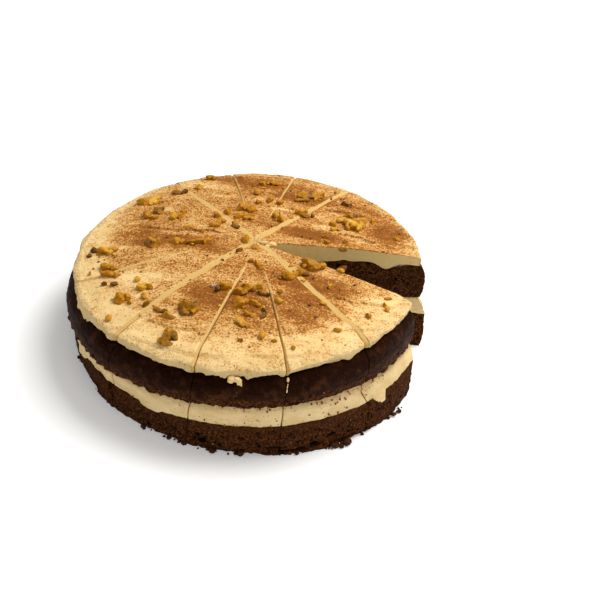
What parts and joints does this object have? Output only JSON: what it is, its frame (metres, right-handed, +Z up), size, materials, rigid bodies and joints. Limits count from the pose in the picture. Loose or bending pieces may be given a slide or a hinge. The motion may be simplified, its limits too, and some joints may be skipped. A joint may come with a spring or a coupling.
{
  "type": "carrot cake",
  "caption": "Round layered carrot cake with cream filling and icing, cinnamon and walnuts on top, cut into portions with one wedge taken away.",
  "frame": {"origin": "centre of the lower sponge's base, on the surface that the cake rests on", "axes": "+Z up out of the icing, -Y towards the front of the picture, +X to its right; the missing portion opens towards +X"},
  "size_m": [0.2586, 0.2566, 0.0875],
  "materials": {
    "lower_sponge": "matte, crumbly, full of pores, dark reddish brown",
    "filling": "satin cream with brown specks",
    "upper_sponge": "baked skin, dark chocolate brown with a faint grey sheen, crumbly where cut",
    "icing": "satin cream, dusted with orange-brown cinnamon except along the rim",
    "walnut": "golden to brown broken nut, slightly oily"
  },
  "bodies": {
    "root": {"filling_01": "filling", "filling_02": "filling", "filling_03": "filling", "filling_04": "filling", "filling_05": "filling", "filling_06": "filling", "filling_07": "filling", "filling_08": "filling", "filling_09": "filling", "filling_10": "filling", "filling_11": "filling", "filling_12": "filling", "filling_13": "filling", "icing_01": "icing", "icing_02": "icing", "icing_03": "icing", "icing_04": "icing", "icing_05": "icing", "icing_06": "icing", "icing_07": "icing", "icing_08": "icing", "icing_09": "icing", "icing_10": "icing", "icing_11": "icing", "icing_12": "icing", "icing_13": "icing", "lower_sponge_01": "lower_sponge", "lower_sponge_02": "lower_sponge", "lower_sponge_03": "lower_sponge", "lower_sponge_04": "lower_sponge", "lower_sponge_05": "lower_sponge", "lower_sponge_06": "lower_sponge", "lower_sponge_07": "lower_sponge", "lower_sponge_08": "lower_sponge", "lower_sponge_09": "lower_sponge", "lower_sponge_10": "lower_sponge", "lower_sponge_11": "lower_sponge", "lower_sponge_12": "lower_sponge", "lower_sponge_13": "lower_sponge", "upper_sponge_01": "upper_sponge", "upper_sponge_02": "upper_sponge", "upper_sponge_03": "upper_sponge", "upper_sponge_04": "upper_sponge", "upper_sponge_05": "upper_sponge", "upper_sponge_06": "upper_sponge", "upper_sponge_07": "upper_sponge", "upper_sponge_08": "upper_sponge", "upper_sponge_09": "upper_sponge", "upper_sponge_10": "upper_sponge", "upper_sponge_11": "upper_sponge", "upper_sponge_12": "upper_sponge", "upper_sponge_13": "upper_sponge", "walnut_01": "walnut", "walnut_02": "walnut", "walnut_03": "walnut", "walnut_04": "walnut", "walnut_05": "walnut", "walnut_06": "walnut", "walnut_07": "walnut", "walnut_08": "walnut"}
  },
  "joints": []
}
